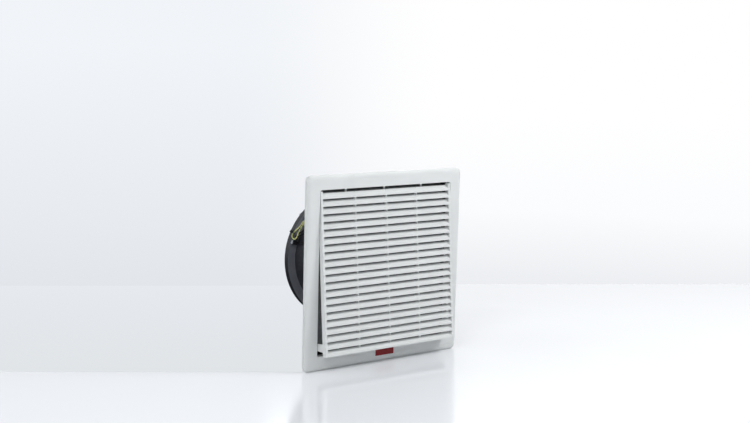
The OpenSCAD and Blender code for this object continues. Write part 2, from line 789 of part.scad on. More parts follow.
module stator_core() color("#5b6064") stand_up() difference() {
    translate([0, 0, stack_back_z]) cylinder(h = stack_front_z - stack_back_z, r = stator_r);
    translate([0, 0, stack_back_z - cut])
        cylinder(h = stack_front_z - stack_back_z + 2 * cut, r = tube_r + run);
    slot_bars(slot_w, slot_in_r, slot_out_r, stack_back_z - cut, stack_front_z + cut);
    slot_bars(slot_mouth_w, slot_out_r - sink, stator_r + cut, stack_back_z - cut, stack_front_z + cut);
}

// The coils: a bar in each slot and the end turns that join them.
module stator_windings() color("#a35a2c") stand_up() {
    r0 = slot_in_r + winding_gap;
    r1 = slot_out_r - winding_gap;
    slot_bars(slot_w - 2 * winding_gap, r0, r1, stack_back_z - winding_rise / 2,
        stack_front_z + winding_rise / 2);
    for (z = [stack_back_z - winding_gap - winding_rise, stack_front_z + winding_gap])
        translate([0, 0, z]) difference() {
            cylinder(h = winding_rise, r = r1);
            translate([0, 0, -cut]) cylinder(h = winding_rise + 2 * cut, r = r0);
        }
}

module motor_shaft() color("#c9cccd") stand_up() difference() {
    translate([0, 0, shaft_end_z])
        cylinder(h = cup_front_z - shaft_inset - shaft_end_z, r = shaft_r);
    translate([0, 0, shaft_groove_z - fit]) difference() {
        cylinder(h = clip_ring_t + 2 * fit, r = shaft_r + cut);
        translate([0, 0, -cut]) cylinder(h = clip_ring_t + 2 * cut + 2 * fit, r = shaft_r - groove_d);
    }
}

module shaft_clip() color("#7f8386") stand_up() translate([0, 0, shaft_groove_z]) difference() {
    cylinder(h = clip_ring_t, r = clip_ring_r);
    translate([0, 0, -cut]) cylinder(h = clip_ring_t + 2 * cut, r = shaft_r - groove_d + run);
}

module rotor_cup() color(black_colour) stand_up() rotate_extrude() polygon(concat(
    [[shaft_r + run, cup_boss_z], [shaft_r + run, cup_front_z]],
    [for (s = edge_shares) [
        rotor_r - cup_edge_r * (1 - sin(s * right_angle)),
        cup_front_z - cup_edge_r * (1 - cos(s * right_angle))
    ]],
    [
        [rotor_r, cup_back_z], [rotor_bore_r, cup_back_z],
        [rotor_bore_r, cup_front_z - rotor_wall - cup_edge_r / 2],
        [rotor_bore_r - cup_edge_r / 2, cup_front_z - rotor_wall],
        [cup_boss_r, cup_front_z - rotor_wall], [cup_boss_r, cup_boss_z]
    ]
));

module rotor_cage() color("#a7abad") stand_up() translate([0, 0, stack_back_z]) difference() {
    cylinder(h = stack_front_z - stack_back_z, r = rotor_bore_r - run);
    translate([0, 0, -cut]) cylinder(h = stack_front_z - stack_back_z + 2 * cut, r = cage_r);
}

// A blade is lofted through sections that are wrapped round cylinders, from the hub to the tip.
function mix(a, b, s) = a + (b - a) * s;

function blade_point(s, share, thick) = let (
    r = mix(blade_root_r, blade_tip_r, s),
    pitch = mix(blade_pitch_root, blade_pitch_tip, s),
    chord = mix(blade_depth_root, blade_depth_tip, s) / sin(pitch),
    along = (share - 1 / 2) * chord,
    off = 4 * blade_camber * share * (1 - share) + thick / 2,
    turn = (along * cos(pitch) - off * sin(pitch)) / (r * PI) * 2 * right_angle - blade_sweep * s * s
) [r * cos(turn), r * sin(turn), blade_mid_z + along * sin(pitch) + off * cos(pitch)];

function blade_ring(s) = let (n = len(blade_chord_shares) - 1) concat(
    [for (i = [0:n]) blade_point(s, blade_chord_shares[i], blade_t * blade_thick_shares[i])],
    [for (i = [n:-1:0]) blade_point(s, blade_chord_shares[i], -blade_t * blade_thick_shares[i])]
);

// Triangles between rings of points that follow each other, and across the first and last.
function tube_faces(rings, n) = concat(
    [for (j = [0:rings - 2], i = [0:n - 1]) let (k = (i + 1) % n) [j * n + i, j * n + k, (j + 1) * n + k]],
    [for (j = [0:rings - 2], i = [0:n - 1]) let (k = (i + 1) % n) [j * n + i, (j + 1) * n + k, (j + 1) * n + i]]
);

function strip_cap(start, n, flip) = [
    for (i = [0:n / 2 - 2]) each let (a = start + i, b = start + n - 1 - i)
        flip ? [[a, b, a + 1], [b, b - 1, a + 1]] : [[a, a + 1, b], [b, a + 1, b - 1]]
];

module blade() {
    n = 2 * len(blade_chord_shares);
    polyhedron(
        points = [for (j = [0:blade_sections]) each blade_ring(j / blade_sections)],
        faces = concat(
            tube_faces(blade_sections + 1, n),
            strip_cap(0, n, true),
            strip_cap(blade_sections * n, n, false)
        )
    );
}

module fan_impeller() color(black_colour) stand_up() {
    translate([0, 0, blade_mid_z - impeller_hub_l / 2]) difference() {
        cylinder(h = impeller_hub_l, r = rotor_r + impeller_hub_t);
        translate([0, 0, -cut]) cylinder(h = impeller_hub_l + 2 * cut, r = rotor_r + run);
    }
    for (i = [0:blade_count - 1]) rotate(i * full_turn / blade_count) blade();
}

module wire_ring(r, d) rotate_extrude() translate([r, 0]) circle(d = d, $fn = guard_facets);

// Rings of wire on four legs, whose eyes lie on the fan's rear flange.
module finger_guard() color(zinc_colour) stand_up() {
    ring_z = fan_back_z - guard_rise;
    leg_z = ring_z + (guard_wire_d + guard_leg_d) / 2 - sink;
    eye_z = fan_back_z - guard_leg_d / 2 - fit;
    eye_at = fan_pcd / 2 - guard_eye_r - guard_eye_lap;
    lean = atan2(eye_z - leg_z, eye_at - guard_out_r);
    for (i = [0:guard_rings - 1]) translate([0, 0, ring_z])
        wire_ring(mix(guard_in_r, guard_out_r, i / (guard_rings - 1)), guard_wire_d);
    for (a = screw_angles) rotate(a) {
        translate([guard_in_r - guard_wire_d / 2, 0, leg_z]) rotate([0, right_angle, 0])
            cylinder(h = guard_out_r - guard_in_r + guard_wire_d / 2, d = guard_leg_d);
        translate([guard_out_r, 0, leg_z]) sphere(d = guard_leg_d + sink, $fn = guard_facets);
        translate([guard_out_r, 0, leg_z]) rotate([0, right_angle - lean, 0])
            cylinder(h = norm([eye_at - guard_out_r, eye_z - leg_z]), d = guard_leg_d);
        translate([fan_pcd / 2, 0, eye_z]) wire_ring(guard_eye_r, guard_leg_d);
    }
}

module guard_screws() color(zinc_colour) stand_up() at_angles(screw_angles, fan_pcd / 2)
    translate([0, 0, fan_back_z - guard_leg_d - 2 * fit]) rotate([2 * right_angle, 0, 0])
        pan_screw(fan_screw_d, guard_leg_d + 2 * fit + fan_flange_t + nut_t_share * fan_screw_d);

module guard_nuts() color(zinc_colour) stand_up()
    at_angles(screw_angles, fan_pcd / 2) translate([0, 0, fan_rear_z]) nut(fan_screw_d);

module at_poles() for (i = [-1:1]) translate([block_x + i * block_pole, block_y, block_z - block_d / 2])
    children();

module terminal_block() color("#d8d9d3") stand_up() difference() {
    translate([block_x - block_w / 2, block_y - block_h / 2, block_z - block_d])
        cube([block_w, block_h, block_d]);
    at_poles() for (s = senses) translate([0, s * (block_h / 2 + cut), 0]) rotate([s * right_angle, 0, 0])
        cylinder(h = entry_l + cut, d = entry_d);
    at_poles() for (s = senses) translate([0, s * well_at, -block_d / 2 - cut])
        cylinder(h = well_l + cut, d = well_d);
}

module terminal_screws() color("#b99b58") stand_up() at_poles()
    for (s = senses) translate([0, s * well_at, -block_d / 2 + well_l - terminal_screw_t])
        difference() {
            cylinder(h = terminal_screw_t, d = well_d - 2 * fit);
            translate([0, 0, terminal_slot_d / 2]) rotate(right_angle / 2)
                cube([well_d, terminal_slot_w, terminal_slot_d + fit], center = true);
        }

module on_rear_flange(r) rotate(socket_angle) translate([r, 0, fan_rear_z + socket_seat]) children();

// Plug-in connector on the fan's rear flange, and the two metal tabs beside it.
module lead_socket() color("#17181a") stand_up() on_rear_flange(socket_r)
    translate([0, -socket_w / 2, 0]) cube([socket_d, socket_w, socket_h]);

module lead_tabs() color("#d7dadb") stand_up() for (r = [tab_in_r, tab_out_r]) on_rear_flange(r)
    translate([0, -tab_w / 2, 0]) cube([tab_t, tab_w, tab_h]);

function unit(v) = v / norm(v);

function direction(path, i) = unit(path[min(i + 1, len(path) - 1)] - path[max(i - 1, 0)]);

// The side vector of each ring is the one before it, turned square to the path.
function side_vectors(path, i, before) = i == len(path) ? [] : let (
    t = direction(path, i),
    v = unit(before - t * (before * t))
) concat([v], side_vectors(path, i + 1, v));

module wire(path, r) {
    side = side_vectors(path, 0, wire_side_start);
    n = wire_sides;
    polyhedron(
        points = [for (i = [0:len(path) - 1], k = [0:n - 1]) let (
            w = cross(side[i], direction(path, i)),
            a = k * full_turn / n
        ) path[i] + r * (cos(a) * side[i] + sin(a) * w)],
        faces = concat(
            tube_faces(len(path), n),
            strip_cap(0, n, true),
            strip_cap((len(path) - 1) * n, n, false)
        )
    );
}

module behind_fan_face() translate([0, -fan_z, 0]) children();

module supply_leads() color("#1b1c1e") behind_fan_face() {
    wire(concat(live_start, live_route, live_end), wire_r);
    wire(concat(neutral_start, neutral_route, neutral_end), wire_r);
}

module earth_wire() color("#b9c06a") behind_fan_face()
    wire(concat(earth_start, earth_route, earth_end), wire_r);

// Ring lug under the head of the fan's screw, with the barrel that grips the earth wire.
module earth_lug() color("#cfd2d3") stand_up() rotate(lug_angle)
    translate([fan_pcd / 2, 0, fan_front_z - lug_ring_t]) difference() {
        union() {
            cylinder(h = lug_ring_t, r = lug_ring_r);
            rotate(lug_turn) translate([0, -lug_tongue_w / 2, 0])
                cube([lug_tongue_l, lug_tongue_w, lug_ring_t]);
            rotate(lug_turn) translate([barrel_at, 0, lug_ring_t - barrel_r - fit])
                rotate([0, right_angle, 0]) cylinder(h = barrel_l, r = barrel_r);
        }
        translate([0, 0, -cut]) cylinder(h = lug_ring_t + 2 * cut, r = fan_screw_d / 2 + run);
    }

module cable_tie() color("#141517") behind_fan_face() {
    tie_r = wire_r + tie_gap + tie_d / 2;
    translate(earth_route[tie_point]) rotate(tie_turn) rotate(tie_spin) {
        wire_ring(tie_r, tie_d);
        translate([tie_r + tie_head / 2 - sink, 0, 0]) cube(tie_head, center = true);
    }
}

front_frame();
badge_plate();
panel_gasket();
louvre_cover();
filter_mat();
mat_grid();
filter_tub();
wall_clips();
clip_screws();
fan_cowl();
cowl_screws();
fan_housing();
fan_screws();
fan_nuts();
motor_base();
motor_screws();
bearing_outer_rings();
bearing_balls();
bearing_inner_rings();
stator_core();
stator_windings();
motor_shaft();
shaft_clip();
rotor_cup();
rotor_cage();
fan_impeller();
finger_guard();
guard_screws();
guard_nuts();
terminal_block();
terminal_screws();
lead_socket();
lead_tabs();
supply_leads();
earth_wire();
earth_lug();
cable_tie();
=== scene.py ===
"""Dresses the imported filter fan: materials, fine pieces, studio and camera.

Lengths are in metres, except in the named sizes and routes, which are in millimetres.
"""

import json
import math

import bmesh
import bpy
from mathutils import Matrix, Vector, noise


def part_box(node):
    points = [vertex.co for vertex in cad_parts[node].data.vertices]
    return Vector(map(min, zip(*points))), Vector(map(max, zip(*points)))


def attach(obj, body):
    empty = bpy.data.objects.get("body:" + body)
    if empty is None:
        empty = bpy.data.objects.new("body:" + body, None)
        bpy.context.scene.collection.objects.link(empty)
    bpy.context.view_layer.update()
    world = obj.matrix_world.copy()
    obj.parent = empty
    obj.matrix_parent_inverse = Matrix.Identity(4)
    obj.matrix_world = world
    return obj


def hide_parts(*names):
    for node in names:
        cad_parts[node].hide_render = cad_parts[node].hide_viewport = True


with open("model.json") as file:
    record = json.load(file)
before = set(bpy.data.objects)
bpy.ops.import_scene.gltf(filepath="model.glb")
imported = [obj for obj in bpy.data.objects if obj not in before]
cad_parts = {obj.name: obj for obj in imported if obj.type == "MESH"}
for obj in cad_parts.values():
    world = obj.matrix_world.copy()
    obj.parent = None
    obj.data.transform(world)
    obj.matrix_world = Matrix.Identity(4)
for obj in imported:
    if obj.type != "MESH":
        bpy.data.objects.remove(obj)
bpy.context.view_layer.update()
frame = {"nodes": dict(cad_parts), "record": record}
NODES = frame["nodes"]
MM = 0.001
TAU = 2 * math.pi


def up(x, y, z):
    """A place in millimetres, front upward as in the source, as a place in the row's frame."""
    return Vector((x, -z, y)) * MM


def at(x, y, z):
    """A place in the row's frame, given in millimetres."""
    return Vector((x, y, z)) * MM


# Camera of the photograph

CAMERA_PLACE = (-1.0044, -1.2908, 0.3029)
CAMERA_RIGHT = (0.7957, -0.6051, 0.0257)
CAMERA_UP = (0.0643, 0.1265, 0.9899)
CAMERA_BACK = (-0.6022, -0.7860, 0.1395)
FOCAL_PIXELS = 1259.9
PHOTO_WIDTH = 750
SENSOR_WIDTH = 36
NEAREST = 0.05
FARTHEST = 50


def make_camera():
    data = bpy.data.cameras.new("camera")
    data.sensor_width = SENSOR_WIDTH
    data.sensor_fit = "HORIZONTAL"
    data.lens = SENSOR_WIDTH * FOCAL_PIXELS / PHOTO_WIDTH
    data.clip_start = NEAREST
    data.clip_end = FARTHEST
    camera = bpy.data.objects.new("camera", data)
    turn = Matrix((CAMERA_RIGHT, CAMERA_UP, CAMERA_BACK)).transposed().to_quaternion()
    camera.matrix_world = Matrix.Translation(CAMERA_PLACE) @ turn.to_matrix().to_4x4()
    bpy.context.scene.collection.objects.link(camera)
    bpy.context.scene.camera = camera


# Materials


def srgb(red, green, blue):
    def linear(value):
        value /= 255
        return value / 12.92 if value <= 0.04045 else ((value + 0.055) / 1.055) ** 2.4

    return (linear(red), linear(green), linear(blue), 1.0)


class Nodes:
    """Helpers for the nodes of one tree."""

    def __init__(self, tree):
        self.tree = tree

    def node(self, kind, **settings):
        made = self.tree.nodes.new(kind)
        for key, value in settings.items():
            setattr(made, key, value)
        return made

    def link(self, source, target):
        self.tree.links.new(source, target)

    def feed(self, value, target):
        """Links another node's output to the socket, or sets a constant on it."""
        if isinstance(value, bpy.types.NodeSocket):
            self.link(value, target)
        else:
            target.default_value = value

    def ramp(self, factor, *stops):
        made = self.node("ShaderNodeValToRGB")
        while len(made.color_ramp.elements) < len(stops):
            made.color_ramp.elements.new(0.5)
        for element, (position, colour) in zip(made.color_ramp.elements, stops):
            element.position = position
            element.color = colour
        self.link(factor, made.inputs["Fac"])
        return made.outputs["Color"]

    def mix(self, factor, first, second):
        made = self.node("ShaderNodeMix", data_type="RGBA")
        for value, name in ((factor, "Factor"), (first, "A"), (second, "B")):
            self.feed(value, next(s for s in made.inputs if s.name == name and s.enabled))
        return next(s for s in made.outputs if s.enabled)

    def spread(self, value, low, high, start=0.0, end=1.0, curve="LINEAR"):
        """The value between low and high, spread from start to end."""
        made = self.node("ShaderNodeMapRange", interpolation_type=curve)
        limits = (("From Min", low), ("From Max", high), ("To Min", start), ("To Max", end))
        for key, number in limits:
            made.inputs[key].default_value = number
        self.link(value, made.inputs["Value"])
        return made.outputs["Result"]

    def dot(self, vector, direction):
        made = self.node("ShaderNodeVectorMath", operation="DOT_PRODUCT")
        self.link(vector, made.inputs[0])
        made.inputs[1].default_value = direction
        return made.outputs["Value"]


class Shader(Nodes):
    """A principled material, with textures in the piece's own coordinates."""

    def __init__(self, name, roughness, metallic=0.0, **sockets):
        self.material = bpy.data.materials.new(name)
        self.material.use_nodes = True
        super().__init__(self.material.node_tree)
        self.surface = self.tree.nodes["Principled BSDF"]
        self.surface.inputs["Roughness"].default_value = roughness
        self.surface.inputs["Metallic"].default_value = metallic
        for key, value in sockets.items():
            self.surface.inputs[key.replace("_", " ")].default_value = value
        self.place = self.node("ShaderNodeTexCoord").outputs["Object"]
        self.height = None

    def noise(self, scale, detail=4.0, roughness=0.55, stretch=None, distortion=0.0):
        made = self.node("ShaderNodeTexNoise")
        made.inputs["Scale"].default_value = scale
        made.inputs["Detail"].default_value = detail
        made.inputs["Roughness"].default_value = roughness
        made.inputs["Distortion"].default_value = distortion
        source = self.place
        if stretch:
            mapping = self.node("ShaderNodeMapping")
            mapping.inputs["Scale"].default_value = stretch
            self.link(source, mapping.inputs["Vector"])
            source = mapping.outputs["Vector"]
        self.link(source, made.inputs["Vector"])
        return made.outputs["Fac"]

    def grey(self, factor, low, high, start=0.3, end=0.7):
        """A noise, whose values lie mostly between start and end, spread from low to high."""
        return self.spread(factor, start, end, low, high)

    def bump(self, factor, distance, strength=1.0):
        made = self.node("ShaderNodeBump")
        made.inputs["Distance"].default_value = distance
        made.inputs["Strength"].default_value = strength
        self.link(factor, made.inputs["Height"])
        if self.height is not None:
            self.link(self.height, made.inputs["Normal"])
        self.height = made.outputs["Normal"]
        self.link(self.height, self.surface.inputs["Normal"])

    def colour(self, output):
        self.link(output, self.surface.inputs["Base Color"])

    def rough(self, output):
        self.link(output, self.surface.inputs["Roughness"])


def moulded(name, light, dark, roughness, grain=0.00002, specular=0.5):
    """Moulded plastic: a fine spark-eroded grain, and a shade that drifts slowly over the piece."""
    made = Shader(name, roughness, Specular_IOR_Level=specular)
    drift = made.noise(22, 3)
    made.colour(made.ramp(drift, (0.25, dark), (0.75, light)))
    made.rough(made.grey(made.noise(260, 5), roughness - 0.05, roughness + 0.07))
    made.bump(made.noise(2600, 3, 0.6), grain)
    made.bump(made.noise(60, 2), grain * 6, 0.5)
    return made.material


def metal(name, light, dark, roughness, stretch=(1, 1, 1)):
    """Plated or worked metal, with its streaks along the stretched axes."""
    made = Shader(name, roughness, 1.0)
    streaks = made.noise(900, 4, 0.6, stretch)
    clouds = made.noise(85, 4)
    tint = made.mix(made.grey(clouds, 0.0, 1.0), dark, light)
    made.colour(made.mix(made.grey(streaks, 0.0, 0.35), tint, dark))
    made.rough(made.grey(clouds, roughness - 0.07, roughness + 0.1))
    made.bump(streaks, 0.00001)
    return made.material


def cast_black(name, light, dark, roughness):
    """Black satin paint over die-cast metal, with a faint orange peel and dust on it."""
    made = Shader(name, roughness, Coat_Weight=0.12, Coat_Roughness=0.3)
    drift = made.noise(30, 4)
    dust = made.noise(520, 5, 0.65)
    paint = made.ramp(drift, (0.3, dark), (0.7, light))
    made.colour(made.mix(made.grey(dust, 0.0, 0.22, 0.52, 0.78), paint, srgb(120, 122, 126)))
    made.rough(made.grey(made.noise(170, 4), roughness - 0.06, roughness + 0.1))
    made.bump(made.noise(750, 3), 0.00003)
    made.bump(made.noise(120, 2), 0.00008, 0.6)
    return made.material


def fleece(name, light, dark):
    """Bonded fibres: long crossing strands over soft clumps."""
    made = Shader(name, 0.95, Sheen_Weight=0.25, Sheen_Roughness=0.6)
    clumps = made.noise(110, 4)
    strands = made.noise(700, 6, 0.7, (1, 1, 0.35), 1.2)
    across = made.noise(700, 6, 0.7, (0.35, 1, 1), 1.2)
    base = made.ramp(clumps, (0.25, dark), (0.75, light))
    shade = made.mix(made.grey(strands, 0.0, 0.45), base, dark)
    made.colour(made.mix(made.grey(across, 0.0, 0.3), shade, light))
    made.bump(strands, 0.0006)
    made.bump(across, 0.0006)
    return made.material


def foam(name, light, dark):
    """Closed-cell foam with its open skin cells."""
    made = Shader(name, 0.9)
    cells = made.node("ShaderNodeTexVoronoi")
    cells.inputs["Scale"].default_value = 1500
    made.link(made.place, cells.inputs["Vector"])
    made.colour(made.ramp(cells.outputs["Distance"], (0.0, dark), (0.6, light)))
    made.bump(cells.outputs["Distance"], 0.00015)
    return made.material


def striped(name, base, stripe, turns):
    """Insulation of two colours, wound in long stripes along the wire's own length."""
    made = Shader(name, 0.38, Coat_Weight=0.15, Coat_Roughness=0.25)
    across = made.node("ShaderNodeSeparateXYZ")
    made.link(made.node("ShaderNodeTexCoord").outputs["UV"], across.inputs["Vector"])
    twist = made.node("ShaderNodeMath", operation="MULTIPLY_ADD")
    made.link(across.outputs["X"], twist.inputs[0])
    twist.inputs[1].default_value = turns
    made.link(across.outputs["Y"], twist.inputs[2])
    part = made.node("ShaderNodeMath", operation="FRACT")
    made.link(twist.outputs[0], part.inputs[0])
    bands = made.ramp(part.outputs[0], (0.0, base), (0.6, base), (0.64, stripe), (0.96, stripe))
    made.colour(made.mix(made.grey(made.noise(400, 4), 0.0, 0.25), bands, base))
    made.rough(made.grey(made.noise(300, 3), 0.32, 0.46))
    made.bump(made.noise(900, 3), 0.00002)
    return made.material


def laminated(name, light, dark):
    """A stack of punched sheets, seen as fine lines across the motor's axis."""
    made = Shader(name, 0.42, 0.9)
    sheets = made.node("ShaderNodeTexWave", bands_direction="Y")
    sheets.inputs["Scale"].default_value = 320
    sheets.inputs["Distortion"].default_value = 0.6
    made.link(made.place, sheets.inputs["Vector"])
    made.colour(made.ramp(sheets.outputs["Fac"], (0.2, dark), (0.8, light)))
    made.bump(sheets.outputs["Fac"], 0.00006)
    return made.material


def wound(name, light, dark):
    """Varnished winding wire in close turns."""
    made = Shader(name, 0.3, 0.55, Coat_Weight=0.5, Coat_Roughness=0.15)
    turns = made.node("ShaderNodeTexWave", wave_type="RINGS", rings_direction="Y")
    turns.inputs["Scale"].default_value = 430
    turns.inputs["Distortion"].default_value = 1.5
    made.link(made.place, turns.inputs["Vector"])
    made.colour(made.ramp(turns.outputs["Fac"], (0.1, dark), (0.7, light)))
    made.bump(turns.outputs["Fac"], 0.0002)
    return made.material


# The material of each slot: its maker, its name and what the maker takes
BY_SLOT = {
    slot: maker(slot, *values)
    for maker, slot, *values in (
        (moulded, "grey_plastic", srgb(221, 223, 222), srgb(215, 217, 216), 0.46, 0.00002, 0.45),
        (moulded, "red_badge", srgb(140, 20, 24), srgb(126, 15, 20), 0.36, 0.00001, 0.3),
        (moulded, "black_plastic", srgb(38, 39, 43), srgb(30, 31, 34), 0.42, 0.00003),
        (cast_black, "black_metal", srgb(42, 43, 48), srgb(30, 31, 35), 0.4),
        (metal, "zinc_steel", srgb(196, 200, 202), srgb(160, 164, 168), 0.3),
        (metal, "guard_wire", srgb(190, 194, 197), srgb(150, 154, 158), 0.28),
        (metal, "spring_steel", srgb(178, 182, 186), srgb(140, 144, 150), 0.32, (0.1, 1, 1)),
        (metal, "bare_aluminium", srgb(188, 190, 192), srgb(158, 160, 163), 0.42),
        (metal, "bearing_steel", srgb(205, 207, 209), srgb(176, 178, 181), 0.2),
        (laminated, "core_steel", srgb(120, 123, 128), srgb(62, 64, 68)),
        (wound, "copper_winding", srgb(196, 104, 52), srgb(108, 48, 22)),
        (metal, "brass_screw", srgb(205, 178, 112), srgb(170, 142, 84), 0.3),
        (metal, "bright_tab", srgb(226, 228, 229), srgb(198, 200, 203), 0.22),
        (moulded, "block_plastic", srgb(222, 223, 217), srgb(212, 213, 206), 0.4),
        (moulded, "black_insulation", srgb(34, 34, 36), srgb(26, 26, 28), 0.38, 0.00001),
        (striped, "green_insulation", srgb(228, 222, 150), srgb(150, 172, 100), 1.0),
        # The fleece is painted a mid grey, darker than the mat's own near-white: painted shade, so
        # that the slots behind the louvre look dark
        (fleece, "filter_fleece", srgb(120, 122, 122), srgb(84, 86, 86)),
        (foam, "gasket_foam", srgb(62, 63, 66), srgb(24, 24, 26)),
    )
}
SLOT_OF = {row["node"]: row["material_slot"] for row in frame["record"]["subparts"]}


SHARP_ANGLE = 35
EDGE_SEGMENTS = 2


def dress(piece, material):
    piece.data.materials.clear()
    piece.data.materials.append(material)


def soften(piece, width):
    """Rounds a piece's sharp edges by a width in millimetres, so that they catch the light."""
    bevel = piece.modifiers.new("edges", "BEVEL")
    bevel.width = width * MM
    bevel.segments = EDGE_SEGMENTS
    bevel.limit_method = "ANGLE"
    bevel.angle_limit = math.radians(SHARP_ANGLE)
    bevel.use_clamp_overlap = True
    bevel.harden_normals = True


def smooth(piece, angle=SHARP_ANGLE):
    piece.data.shade_smooth()
    piece.data.set_sharp_from_angle(angle=math.radians(angle))


for name, piece in NODES.items():
    dress(piece, BY_SLOT[SLOT_OF[name]])
    smooth(piece)

EDGES = {
    "front_frame": 0.35, "louvre_cover": 0.25, "badge_plate": 0.35, "fan_cowl": 0.4,
    "fan_housing": 0.5, "filter_tub": 0.3, "terminal_block": 0.5, "lead_socket": 0.4,
    "lead_tabs": 0.15, "wall_clips": 0.15, "fan_nuts": 0.2, "guard_nuts": 0.2,
    "motor_base": 0.3, "earth_lug": 0.15, "cable_tie": 0.5,
}
for name, width in EDGES.items():
    soften(NODES[name], width)


# The rear flange's face that looks to the front is painted lighter: painted light, standing in for
# the light that falls on that face

FLANGE_PAINTED_LIGHT = cast_black("flange_painted_light", srgb(124, 127, 135), srgb(108, 111, 119), 0.5)
FLANGE_Y = 96.6
FLANGE_SLACK = 0.1
FACING_FRONT = -0.9


def paint_flange_light():
    data = NODES["fan_housing"].data
    # Faces that look to the front get the lighter material: painted light on the flange's front
    # face
    data.materials.append(FLANGE_PAINTED_LIGHT)
    for face in data.polygons:
        away = abs((face.center / MM).y - FLANGE_Y)
        if face.normal.y < FACING_FRONT and away < FLANGE_SLACK:
            face.material_index = 1


paint_flange_light()


# Pieces


def add_piece(name, mesh, body, slot, replaced=(), angle=SHARP_ANGLE):
    data = bpy.data.meshes.new(name)
    mesh.normal_update()
    mesh.to_mesh(data)
    mesh.free()
    piece = bpy.data.objects.new(name, data)
    bpy.context.scene.collection.objects.link(piece)
    dress(piece, BY_SLOT[slot])
    smooth(piece, angle)
    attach(piece, body)
    if replaced:
        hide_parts(*replaced)
    return piece


def bridge(mesh, rings, closed=False, flip=False, reach=None):
    """Joins rings of vertices that follow each other, with a UV of turn and reach where given."""
    layer = mesh.loops.layers.uv.verify() if reach else None
    count = len(rings[0])
    for j in range(len(rings) - (0 if closed else 1)):
        first, second = rings[j], rings[(j + 1) % len(rings)]
        for i in range(count):
            k = (i + 1) % count
            corners = [first[i], first[k], second[k], second[i]]
            uvs = [(i, j), (i + 1, j), (i + 1, j + 1), (i, j + 1)]
            if flip:
                corners.reverse()
                uvs.reverse()
            face = mesh.faces.new(corners)
            if reach:
                for loop, (u, v) in zip(face.loops, uvs):
                    loop[layer].uv = (u / count, reach[v])


def cap(mesh, rings):
    """Closes a tube of rings at both ends."""
    mesh.faces.new(reversed(rings[0]))
    mesh.faces.new(rings[-1])


def circle(sides):
    """Cosine and sine of each corner of a regular polygon."""
    return [(math.cos(a), math.sin(a)) for a in (TAU * k / sides for k in range(sides))]


def curve_through(points, steps):
    """Catmull-Rom points through the route."""
    ends = [points[0] * 2 - points[1]] + points + [points[-1] * 2 - points[-2]]
    path = []
    for a, b, c, d in zip(ends, ends[1:], ends[2:], ends[3:]):
        square = 2 * a - 5 * b + 4 * c - d
        cubic = 3 * b - a - 3 * c + d
        for step in range(steps):
            t = step / steps
            path.append(0.5 * (2 * b + (c - a) * t + square * t * t + cubic * t**3))
    return path + [points[-1]]


WIRE_R = 0.9
WIRE_SIDES = 14
WIRE_STEPS = 5
WIRE_ANGLE = 60


def make_wire(name, routes, slot, node):
    """Round wires along their routes, whose UV counts turns along them for the stripes."""
    radius = WIRE_R * MM
    mesh = bmesh.new()
    for route in routes:
        path = curve_through(route, WIRE_STEPS)
        side = Vector((1, 0.1, 0.2))
        rings, reach = [], []
        for i, point in enumerate(path):
            along = (path[min(i + 1, len(path) - 1)] - path[max(i - 1, 0)]).normalized()
            side = (side - along * side.dot(along)).normalized()
            across = along.cross(side)
            rings.append([
                mesh.verts.new(point + radius * (x * side + y * across))
                for x, y in circle(WIRE_SIDES)
            ])
            step = (point - path[i - 1]).length / (radius * TAU)
            reach.append(reach[-1] + step if i else 0.0)
        bridge(mesh, rings, reach=reach)
        cap(mesh, rings)
    add_piece(name, mesh, "body", slot, (node,), WIRE_ANGLE)


LATHE_SIDES = 32


def lathe(mesh, matrix, profile):
    """Turns a profile of (radius, height) about the matrix's Z, closed at both ends."""
    rings = [
        [mesh.verts.new(matrix @ Vector((radius * x, radius * y, height)))
         for x, y in circle(LATHE_SIDES)]
        for radius, height in profile
    ]
    bridge(mesh, rings)
    cap(mesh, rings)


STAND = Matrix(((1, 0, 0, 0), (0, 0, -1, 0), (0, 1, 0, 0), (0, 0, 0, 1)))


def seat(spin, x, y, z, tilt=180.0):
    """A screw's seat: where it lies in the source's drawing, turned about the fan's axis."""
    turn = Matrix.Rotation(math.radians(spin), 4, "Z")
    lean = Matrix.Rotation(math.radians(tilt), 4, "X")
    return Matrix.Scale(MM, 4) @ STAND @ turn @ Matrix.Translation((x, y, z)) @ lean


# Pan head screws. Shares are of the thread's diameter, but HEAD_PROFILE's are of the head's own

HEAD_R_SHARE = 0.95
HEAD_H_SHARE = 0.6
HEAD_PROFILE = (
    (0.97, 0.0), (1.0, 0.12), (1.0, 0.4), (0.95, 0.66), (0.8, 0.87), (0.55, 0.97), (0.25, 1.0),
)
TIP_R_SHARE = 0.3
TIP_L_SHARE = 0.12
THREAD_START_SHARE = 0.2
THREAD_FIRST_SHARE = 0.44
THREAD_CREST_SHARE = 0.5
THREAD_ROOT_SHARE = 0.46
NECK_SHARE = 0.49
RECESS_ARM_SHARE = 0.56
RECESS_WIDTH_SHARE = 0.13
RECESS_DEPTH_SHARE = 0.62
RECESS_FLOOR_SHARE = 0.45
RECESS_LEAST_WIDTH = 0.7
RECESS_OVER = 0.3
RECESS_OVER_SHARE = 1.1
SCREW_ANGLE = 40


def cross_recess(mesh, matrix, d, depth):
    """A tapered cross cut down into a screw's head, as a tool for the boolean."""
    arm, width = RECESS_ARM_SHARE * d, RECESS_WIDTH_SHARE * d
    top = [(-arm, -width), (arm, -width), (arm, width), (-arm, width)]
    levels = ((RECESS_FLOOR_SHARE, -depth), (1.0, 0.0), (RECESS_OVER_SHARE, RECESS_OVER))
    for turn in (0, 90):
        spin = matrix @ Matrix.Rotation(math.radians(turn), 4, "Z")
        rings = []
        for share, height in levels:
            wide = max(share, RECESS_LEAST_WIDTH)
            rings.append([
                mesh.verts.new(spin @ Vector((x * share, y * wide, height))) for x, y in top
            ])
        bridge(mesh, rings)
        cap(mesh, rings)


